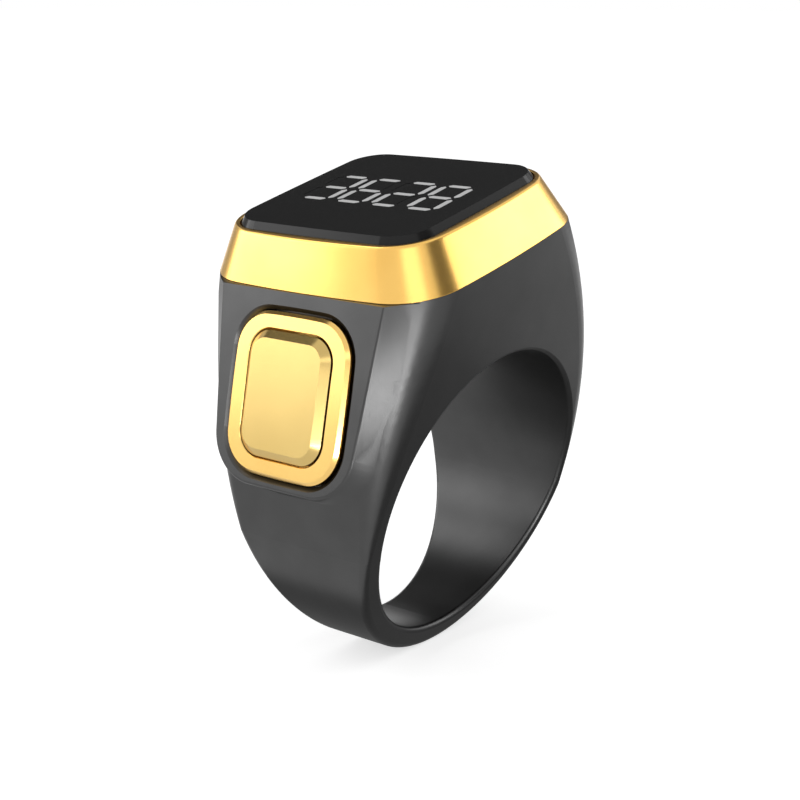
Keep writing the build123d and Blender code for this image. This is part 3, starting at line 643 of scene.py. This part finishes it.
@dataclass
class Digits:
    """Pointed bars of the four figures, each a rod that reaches from the mask to the display face, in millimetres."""

    figures: str = "3628"
    top: float = 20.03
    base: float = 17.30
    pitch: float = 2.90
    width: float = 2.10
    height: float = 4.36
    bar_width: float = 0.44
    bar_gap: float = 0.36
    lit_bars: dict[str, str] = field(default_factory=lambda: {"2": "abged", "3": "abgcd", "6": "afgecd",
                                                              "8": "abcdefg"})

    def places(self) -> dict[str, tuple[float, float, float, float]]:
        """Seven bars of a figure, by their usual letters.

        Returns:
            Middle, length and turn in degrees of each bar.
        """
        across, tall = self.width - self.bar_gap, self.height / 2 - self.bar_gap
        side, top = self.width / 2, self.height / 2
        return {"a": (0.0, top, across, 0.0), "b": (side, top / 2, tall, 90.0), "c": (side, -top / 2, tall, 90.0),
                "d": (0.0, -top, across, 0.0), "e": (-side, -top / 2, tall, 90.0), "f": (-side, top / 2, tall, 90.0),
                "g": (0.0, 0.0, across, 0.0)}

    def seeds(self, name: str, lit: bool) -> bpy.types.Object:
        """One point for each bar, with its turn and its length.

        Args:
            name: Name of the object.
            lit: True for the bars that are lit, False for the dark ones.

        Returns:
            An object of loose points, in the millimetres of the display face.
        """
        rows = []
        for i, figure in enumerate(self.figures):
            middle = (i - (len(self.figures) - 1) / 2) * self.pitch
            for letter, (x, y, length, turn) in self.places().items():
                if lit == (letter in self.lit_bars[figure]):
                    rows.append((middle + x, Face.DISPLAY.middle + y, math.radians(turn), length))
        data = bpy.data.meshes.new(name)
        data.from_pydata([(x, y, self.base) for x, y, _, _ in rows], [], [])
        for key, values in (("turn", [row[2] for row in rows]), ("length", [row[3] for row in rows])):
            data.attributes.new(key, "FLOAT", "POINT").data.foreach_set("value", values)
        seeds = bpy.data.objects.new(name, data)
        bpy.context.scene.collection.objects.link(seeds)
        return seeds

    def tree(self) -> bpy.types.GeometryNodeTree:
        """Node tree that stands a pointed six-sided rod on every point.

        Returns:
            The tree, with the bar's width, length and height and its finish as inputs.
        """
        tree = bpy.data.node_groups.new("pointed_bars", "GeometryNodeTree")
        tree.interface.new_socket("Points", in_out="INPUT", socket_type="NodeSocketGeometry")
        for name in ("Bar Width", "Bar Length", "Bar Height"):
            tree.interface.new_socket(name, in_out="INPUT", socket_type="NodeSocketFloat")
        tree.interface.new_socket("Bar Finish", in_out="INPUT", socket_type="NodeSocketMaterial")
        tree.interface.new_socket("Bars", in_out="OUTPUT", socket_type="NodeSocketGeometry")
        given = add_node(tree, "NodeGroupInput").outputs
        radius = add_node(tree, "ShaderNodeMath", {1: 2 * math.cos(math.pi / 6)}, {0: given["Bar Width"]},
                          operation="DIVIDE").outputs[0]
        rod = add_node(tree, "GeometryNodeMeshCylinder", {"Vertices": 6},
                       {"Radius": radius, "Depth": given["Bar Height"]})
        # A regular six-sided rod is drawn out along X until its points are square and it has its length.
        spot = add_node(tree, "ShaderNodeSeparateXYZ",
                        links={0: add_node(tree, "GeometryNodeInputPosition").outputs[0]}).outputs
        tip = add_node(tree, "ShaderNodeMath", {1: math.sqrt(3)}, {0: spot["X"]}, operation="MULTIPLY").outputs[0]
        reach = add_node(tree, "ShaderNodeMath", links={0: given["Bar Length"], 1: given["Bar Width"]},
                         operation="SUBTRACT").outputs[0]
        half = add_node(tree, "ShaderNodeMath", {1: 2.0}, {0: reach}, operation="DIVIDE").outputs[0]
        side = add_node(tree, "ShaderNodeMath", links={0: spot["X"]}, operation="SIGN").outputs[0]
        draw = add_node(tree, "ShaderNodeMath", links={0: side, 1: half, 2: tip}, operation="MULTIPLY_ADD").outputs[0]
        lift = add_node(tree, "ShaderNodeMath", {1: 0.5}, {0: given["Bar Height"], 2: spot["Z"]},
                        operation="MULTIPLY_ADD").outputs[0]
        drawn = add_node(tree, "ShaderNodeCombineXYZ", links={"X": draw, "Y": spot["Y"], "Z": lift}).outputs[0]
        bar = add_node(tree, "GeometryNodeSetPosition", links={"Geometry": rod.outputs["Mesh"], "Position": drawn})
        turn = add_node(tree, "GeometryNodeInputNamedAttribute", {"Name": "turn"}, data_type="FLOAT").outputs[0]
        length = add_node(tree, "GeometryNodeInputNamedAttribute", {"Name": "length"}, data_type="FLOAT").outputs[0]
        share = add_node(tree, "ShaderNodeMath", links={0: length, 1: given["Bar Length"]},
                         operation="DIVIDE").outputs[0]
        bars = add_node(tree, "GeometryNodeInstanceOnPoints", links={
            "Points": given["Points"], "Instance": bar.outputs[0],
            "Rotation": add_node(tree, "ShaderNodeCombineXYZ", links={"Z": turn}).outputs[0],
            "Scale": add_node(tree, "ShaderNodeCombineXYZ", {"Y": 1.0, "Z": 1.0}, {"X": share}).outputs[0]})
        real = add_node(tree, "GeometryNodeRealizeInstances", links={0: bars.outputs[0]})
        painted = add_node(tree, "GeometryNodeSetMaterial", links={"Geometry": real.outputs[0],
                                                                   "Material": given["Bar Finish"]})
        add_node(tree, "NodeGroupOutput", links={0: painted.outputs[0]})
        return tree

    def bars(self, name: str, lit: bool, tree: bpy.types.GeometryNodeTree,
             material: bpy.types.Material) -> bpy.types.Object:
        """Bars of one kind as a plain mesh in their place.

        Args:
            name: Name of the piece.
            lit: True for the bars that are lit, False for the dark ones.
            tree: The node tree of the bars.
            material: Their finish.

        Returns:
            The new piece, at the origin.
        """
        seeds = self.seeds(name + "_points", lit)
        modifier = seeds.modifiers.new("bars", "NODES")
        modifier.node_group = tree
        sockets = {item.name: item.identifier for item in tree.interface.items_tree if item.in_out == "INPUT"}
        modifier[sockets["Bar Width"]] = self.bar_width
        modifier[sockets["Bar Length"]] = self.height / 2 - self.bar_gap
        modifier[sockets["Bar Height"]] = self.top - self.base
        modifier[sockets["Bar Finish"]] = material
        evaluated = seeds.evaluated_get(bpy.context.evaluated_depsgraph_get())
        data = bpy.data.meshes.new_from_object(evaluated)
        data.name = name
        data.transform(Face.DISPLAY.matrix())
        bpy.data.objects.remove(seeds)
        piece = bpy.data.objects.new(name, data)
        bpy.context.scene.collection.objects.link(piece)
        return piece

    def dress(self) -> None:
        """Make the lit and the dark bars and give them their finishes."""
        tree = self.tree()
        for name, lit, node, slot, finish in (("lit_bars", True, "lit_segments", "lit_diffuser", LIT_BAR),
                                              ("dark_bars", False, "dark_segments", "dark_diffuser", DARK_BAR)):
            material = finish.material()
            settle(self.bars(name, lit, tree, material), "ring", node, material)


@dataclass
class PushButton:
    """Gold trim and cap on the front face, in millimetres."""

    face_out: float = 13.80
    trim_edge: Ring = Ring(half_x=4.75, half_y=5.22, swell=0.15, corner=2.6, level=0.0)
    trim_thick: float = 1.48
    trim_proud: float = 0.24
    trim_bevel: float = 0.22
    trim_lip: float = 0.05
    trim_lip_deep: float = 0.05
    cap_edge: Ring = Ring(half_x=3.38, half_y=4.00, swell=0.0, corner=1.60, level=0.0)
    cap_bevel_in: float = 0.50
    cap_bevel_down: float = 0.42
    cap_face_in: float = 1.30
    cap_proud: float = 0.43
    cap_play: float = 0.12
    flange_wide: float = 0.42
    flange_low: float = 12.06
    flange_top: float = 12.51

    def trim(self) -> bpy.types.Object:
        """Flat frame with a wide outer and a narrow inner bevel.

        Returns:
            The new object, at the origin.
        """
        top = self.face_out + self.trim_proud
        low = top - self.trim_thick
        outer, inner = self.trim_edge.beyond, self.cap_edge.beyond
        lines = [inner(self.cap_play, low), outer(0.0, low), outer(0.0, top - self.trim_bevel),
                 outer(-self.trim_bevel, top), inner(self.cap_play + self.trim_lip, top),
                 inner(self.cap_play, top - self.trim_lip_deep)]
        return lofted("gold_trim", Face.BUTTON, lines, True)

    def cap(self) -> bpy.types.Object:
        """Bevelled cap with the flange that keeps it under the trim.

        Returns:
            The new object, at the origin.
        """
        top = self.face_out + self.trim_proud + self.cap_proud
        wall = self.cap_edge.beyond
        lines = [wall(self.flange_wide, self.flange_low), wall(self.flange_wide, self.flange_top),
                 wall(0.0, self.flange_top), wall(0.0, top - self.cap_bevel_down),
                 wall(-self.cap_bevel_in, top), wall(-self.cap_face_in, top)]
        return lofted("gold_cap", Face.BUTTON, lines, False)

    def dress(self) -> None:
        """Make trim and cap and give them their finishes."""
        settle(self.trim(), "ring", "button_trim", TRIM_GOLD.material())
        settle(self.cap(), "button", "button_cap", CAP_GOLD.material())


@dataclass
class Switch:
    """Silicone seal and snap dome under the cap, in millimetres."""

    rise: float = Face.BUTTON.middle
    seal_base: float = 10.90
    seal_thick: float = 0.30
    seal_edge: Ring = Ring(half_x=3.94, half_y=4.41, swell=0.15, corner=1.79, level=0.0)
    seal_rim: float = 0.70
    seal_keep: float = 0.82
    pusher_radius: float = 1.0
    pusher_low: float = 11.30
    pusher_top: float = 12.03
    dome_base: float = 10.52
    dome_radius: float = 1.10
    dome_height: float = 0.19
    dome_thick: float = 0.05
    dome_keep: float = 0.33
    dome_steps: int = 10

    def seal(self) -> bpy.types.Object:
        """Membrane with a clamped rim and a pusher in the middle.

        Returns:
            The new object, at the origin.
        """
        under = self.seal_base + self.seal_thick
        over = under + self.seal_thick
        edge = self.seal_edge.beyond
        lines = [Circle(self.pusher_radius, self.pusher_low), Circle(self.pusher_radius, under),
                 edge(-self.seal_rim, under), edge(-self.seal_rim, self.seal_base),
                 edge(0.0, self.seal_base), edge(0.0, over),
                 Circle(self.pusher_radius, over), Circle(self.pusher_radius, self.pusher_top)]
        return lofted("seal_membrane", Face.BUTTON, lines, False)

    def dome(self) -> bpy.types.Object:
        """Shallow shell cut from a hollow ball.

        Returns:
            The new object, at the origin.
        """
        ball = (self.dome_radius ** 2 + self.dome_height ** 2) / (2 * self.dome_height)
        middle = self.dome_base + self.dome_height - ball
        hollow = ball - self.dome_thick
        rim = math.sqrt(hollow ** 2 - (ball - self.dome_height) ** 2)
        shares = [k / self.dome_steps for k in range(1, self.dome_steps + 1)]
        inner = [Circle(rim * k, middle + math.sqrt(hollow ** 2 - (rim * k) ** 2)) for k in shares]
        outer = [Circle(r, middle + math.sqrt(ball ** 2 - r ** 2)) for r in (self.dome_radius * k for k in shares)]
        return lofted("snap_spring", Face.BUTTON, inner + outer[::-1], False)

    def give_way(self, piece: bpy.types.Object) -> None:
        """Give a piece a mesh of its own.

        Args:
            piece: The finished piece.
        """
        place = Face.BUTTON.matrix()
        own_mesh(piece)

    def dress(self) -> None:
        """Make seal and dome and give each a mesh of its own."""
        seal, dome = self.seal(), self.dome()
        settle(seal, "ring", "button_seal", SILICONE.material())
        settle(dome, "ring", "snap_dome", SPRING.material())
        self.give_way(seal)
        self.give_way(dome)


def bearing(azimuth: float, elevation: float) -> Vector:
    """Direction from the ring, by degrees from -Y towards +X and degrees above the floor."""
    a, e = math.radians(azimuth), math.radians(elevation)
    return Vector((math.sin(a) * math.cos(e), -math.cos(a) * math.cos(e), math.sin(e)))


@dataclass(frozen=True)
class Panel:
    """A flat panel that faces the ring, placed by its direction from it and sized in degrees as seen from it."""

    name: str
    azimuth: float
    elevation: float
    spread: float
    tall: float
    distance: float = 0.35

    def size(self) -> tuple[float, float]:
        """Width and height in metres."""
        wide, high = (2 * self.distance * math.tan(math.radians(a / 2)) for a in (self.spread, self.tall))
        return wide, high

    def place(self, piece: bpy.types.Object, target: Vector) -> None:
        """Put the panel in its place, out of the camera's sight.

        Args:
            piece: The panel's object, whose face is square to its own Z axis.
            target: Point that it faces.
        """
        away = bearing(self.azimuth, self.elevation)
        piece.location = target + away * self.distance
        piece.rotation_euler = away.to_track_quat("Z", "Y").to_euler()
        piece.visible_camera = False
        bpy.context.scene.collection.objects.link(piece)


@dataclass(frozen=True)
class Softbox(Panel):
    """An evenly lit panel."""

    brightness: float = 1.0

    def build(self, target: Vector) -> None:
        """Place the lamp.

        Args:
            target: Point that it faces.
        """
        data = bpy.data.lights.new(self.name, "AREA")
        data.shape = "RECTANGLE"
        data.size, data.size_y = self.size()
        data.energy = self.brightness * math.pi * data.size * data.size_y
        self.place(bpy.data.objects.new(self.name, data), target)


def card(name: str, wide: float, high: float, level: float) -> bpy.types.Object:
    """A flat card that only reflections see.

    Args:
        name: Name of the card.
        wide: Width in metres.
        high: Height in metres.
        level: How bright it looks, where white is 1.

    Returns:
        The card at the origin, square to Z, not yet in the scene.
    """
    mesh = bmesh.new()
    bmesh.ops.create_grid(mesh, x_segments=1, y_segments=1, size=0.5)
    bmesh.ops.scale(mesh, vec=(wide, high, 1.0), verts=mesh.verts)
    data = bpy.data.meshes.new(name)
    mesh.to_mesh(data)
    mesh.free()
    made = bpy.data.materials.new(name)
    made.use_nodes = True
    made.node_tree.nodes.clear()
    grey = add_node(made.node_tree, "ShaderNodeEmission", {"Strength": level})
    add_node(made.node_tree, "ShaderNodeOutputMaterial", links={"Surface": grey.outputs[0]})
    data.materials.append(made)
    piece = bpy.data.objects.new(name, data)
    piece.visible_camera = piece.visible_diffuse = piece.visible_shadow = False
    return piece


@dataclass(frozen=True)
class Flag(Panel):
    """A grey card in front of the white surroundings, for polished metal to reflect."""

    distance: float = 0.30
    level: float = 0.15

    def build(self, target: Vector) -> None:
        """Place the card so that it faces a point."""
        self.place(card(self.name, *self.size(), self.level), target)


@dataclass(frozen=True)
class FloorCard:
    """A grey card just above the floor, under and beside the ring, in metres, which only reflections see and which
    darkens the floor that the metal reflects.
    """

    name: str
    west: float
    east: float
    south: float
    north: float
    level: float
    drop: float = 0.00001

    def build(self, target: Vector) -> None:
        """Lay the card down.

        Args:
            target: Point that the other panels face, which this one does not need.
        """
        piece = card(self.name, self.east - self.west, self.north - self.south, self.level)
        piece.location = ((self.west + self.east) / 2, (self.south + self.north) / 2, CAD_BOX[0].z - self.drop)
        bpy.context.scene.collection.objects.link(piece)


@dataclass
class Studio:
    """Camera, pale floor, white surroundings, soft lamps and dark cards."""

    camera_place: tuple[float, float, float] = (0.065739, -0.083240, 0.032792)
    camera_right: tuple[float, float, float] = (0.7804, 0.6253, 0.0003)
    camera_up: tuple[float, float, float] = (-0.1561, 0.1944, 0.9684)
    camera_back: tuple[float, float, float] = (0.6055, -0.7558, 0.2493)
    lens: float = 71.867
    sensor: float = 36.0
    near_clip: float = 0.001
    floor_half: float = 3.0
    floor_drop: float = 0.00002
    floor_tone: str = "#d8d8d8"
    floor_glow: float = 0.62
    room_glow: float = 0.6
    target: Vector = field(default_factory=lambda: Vector((0.0, -0.006, 0.010)))
    panels: tuple[Softbox | Flag | FloorCard, ...] = (
        Softbox("front_left", azimuth=-58.0, elevation=14.5, spread=40.0, tall=22.0, brightness=2.7),
        Softbox("top_left", azimuth=-50.0, elevation=47.0, spread=26.0, tall=22.0, brightness=1.9),
        Softbox("low_strip", azimuth=48.0, elevation=-8.5, spread=22.0, tall=9.0, distance=0.10, brightness=18.0),
        Softbox("front_top", azimuth=42.0, elevation=25.5, spread=30.0, tall=14.0, distance=0.25, brightness=1.25),
        Softbox("back_right", azimuth=143.0, elevation=22.0, spread=33.0, tall=20.0, brightness=2.4),
        Flag("dark_right", azimuth=101.0, elevation=27.0, spread=36.0, tall=40.0, level=0.13),
        Flag("grey_left", azimuth=-98.0, elevation=6.0, spread=30.0, tall=36.0, level=0.40),
        Flag("dark_left_top", azimuth=-96.0, elevation=50.0, spread=34.0, tall=30.0, level=0.12),
        Flag("dark_back_left", azimuth=-136.0, elevation=23.0, spread=44.0, tall=20.0, level=0.08),
        Flag("grey_back_left", azimuth=-136.0, elevation=52.0, spread=46.0, tall=38.0, level=0.30),
        Flag("dark_back", azimuth=-172.0, elevation=8.0, spread=24.0, tall=24.0, level=0.25),
        # Painted shadow: a dark card under and beside the ring that stands in for the ring's shadow on the floor, as
        # the metal reflects it.
        FloorCard("painted_floor_shadow", west=-0.012, east=0.060, south=-0.012, north=0.040, level=0.25),
        FloorCard("grey_floor", west=0.010, east=0.130, south=0.040, north=0.140, level=0.65),
    )

    def build(self) -> None:
        """Set up everything round the ring."""
        self.camera()
        self.floor()
        self.world()
        for panel in self.panels:
            panel.build(self.target)
        bpy.context.scene.view_settings.view_transform = "Standard"

    def camera(self) -> None:
        """Camera at the photograph's viewing angle."""
        data = bpy.data.cameras.new("camera")
        data.lens = self.lens
        data.sensor_width = self.sensor
        data.clip_start = self.near_clip
        camera = bpy.data.objects.new("camera", data)
        turn = Matrix((self.camera_right, self.camera_up, self.camera_back)).transposed()
        camera.matrix_world = Matrix.Translation(self.camera_place) @ turn.to_4x4()
        bpy.context.scene.collection.objects.link(camera)
        bpy.context.scene.camera = camera

    def floor(self) -> None:
        """White floor under the ring, which glows a little, so that the shadow on it stays faint."""
        mesh = bmesh.new()
        bmesh.ops.create_grid(mesh, x_segments=1, y_segments=1, size=self.floor_half,
                              matrix=Matrix.Translation((0.0, 0.0, CAD_BOX[0].z - self.floor_drop)))
        data = bpy.data.meshes.new("floor")
        mesh.to_mesh(data)
        mesh.free()
        floor = bpy.data.objects.new("floor", data)
        bpy.context.scene.collection.objects.link(floor)
        made = bpy.data.materials.new("white_floor")
        made.use_nodes = True
        tree = made.node_tree
        tree.nodes.clear()
        path = add_node(tree, "ShaderNodeLightPath").outputs
        mirrored = add_node(tree, "ShaderNodeMath", links={0: path["Is Glossy Ray"], 1: path["Is Transmission Ray"]},
                            operation="MAXIMUM").outputs[0]
        plain = add_node(tree, "ShaderNodeBsdfDiffuse", {"Color": linear(self.floor_tone)})
        glow = add_node(tree, "ShaderNodeEmission", {"Strength": self.floor_glow})
        lit = add_node(tree, "ShaderNodeAddShader", links={0: plain.outputs[0], 1: glow.outputs[0]})
        white = add_node(tree, "ShaderNodeEmission", {"Strength": 1.0})
        mixed = add_node(tree, "ShaderNodeMixShader", links={0: mirrored, 1: lit.outputs[0], 2: white.outputs[0]})
        add_node(tree, "ShaderNodeOutputMaterial", links={"Surface": mixed.outputs[0]})
        data.materials.append(made)

    def world(self) -> None:
        """White surroundings that light the ring gently."""
        world = bpy.data.worlds.new("white_room")
        world.use_nodes = True
        tree = world.node_tree
        tree.nodes.clear()
        path = add_node(tree, "ShaderNodeLightPath").outputs
        direct = add_node(tree, "ShaderNodeMath", links={0: path["Is Camera Ray"], 1: path["Is Glossy Ray"]},
                          operation="MAXIMUM").outputs[0]
        seen = add_node(tree, "ShaderNodeMath", links={0: direct, 1: path["Is Transmission Ray"]},
                        operation="MAXIMUM").outputs[0]
        white = add_node(tree, "ShaderNodeBackground", {"Color": linear("#ffffff"), "Strength": 1.0})
        soft = add_node(tree, "ShaderNodeBackground", {"Color": linear("#ffffff"), "Strength": self.room_glow})
        mixed = add_node(tree, "ShaderNodeMixShader", links={0: seen, 1: soft.outputs[0], 2: white.outputs[0]})
        add_node(tree, "ShaderNodeOutputWorld", links={"Surface": mixed.outputs[0]})
        bpy.context.scene.world = world


def main() -> None:
    """Build the ring's sub-assemblies in order, then the studio round it."""
    logging.basicConfig(level=logging.INFO)
    for assembly in (RingBody(), DisplayHead(), Digits(), PushButton(), Switch(), *Inside):
        assembly.dress()
    Studio().build()


if __name__ == "__main__":
    main()
